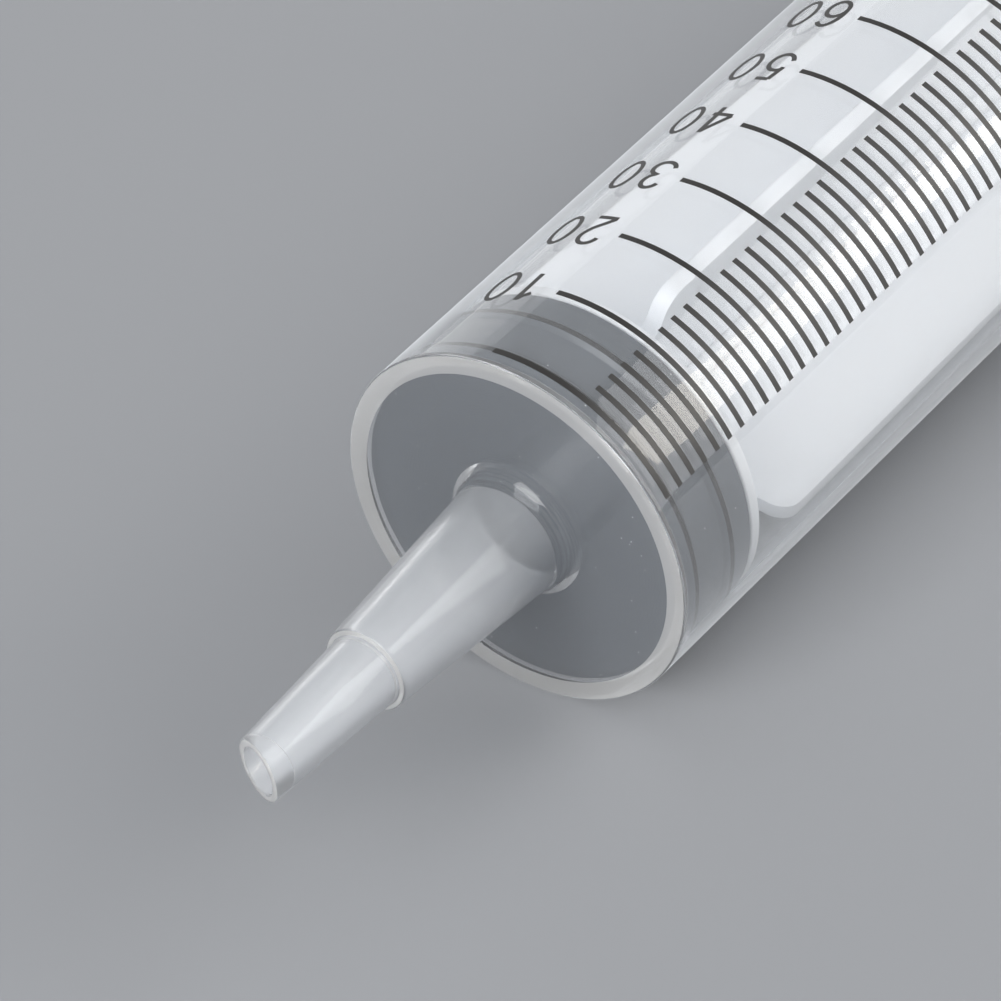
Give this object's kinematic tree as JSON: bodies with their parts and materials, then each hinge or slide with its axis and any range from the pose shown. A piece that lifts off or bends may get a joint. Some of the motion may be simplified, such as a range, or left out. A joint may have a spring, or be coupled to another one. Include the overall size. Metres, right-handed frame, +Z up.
{
  "type": "disposable syringe",
  "caption": "Large disposable syringe with a stepped catheter tip, a printed volume scale, a rubber stopper on a cross-ribbed plunger rod and a finger flange.",
  "frame": {"origin": "middle of the foot of the whole outline, on the surface that the syringe lies on", "axes": "+X along the syringe from the tip to the thumb plate, +Y across the finger flange, +Z up"},
  "size_m": [0.1804, 0.062, 0.0387],
  "materials": {
    "clear_plastic": "clear, slightly milky moulded polypropylene",
    "scale_ink": "dark screen-printed ink",
    "grey_rubber": "smooth, lightly siliconed rubber",
    "white_plastic": "translucent white moulded polypropylene"
  },
  "bodies": {
    "barrel": {"barrel": "clear_plastic", "scale_lines": "scale_ink"},
    "stopper": {"stopper": "grey_rubber"},
    "rod": {"plunger_rod": "white_plastic"}
  },
  "joints": [
    {"name": "plunger_slide", "type": "slide", "parent": "barrel", "child": "stopper", "axis": [1, 0, 0], "range_m": [0, 0.105]},
    {"name": "plunger_turn", "type": "hinge", "parent": "stopper", "child": "rod", "pos_m": [0.01067, 0, 0.01935], "axis": [1, 0, 0], "continuous": true}
  ]
}
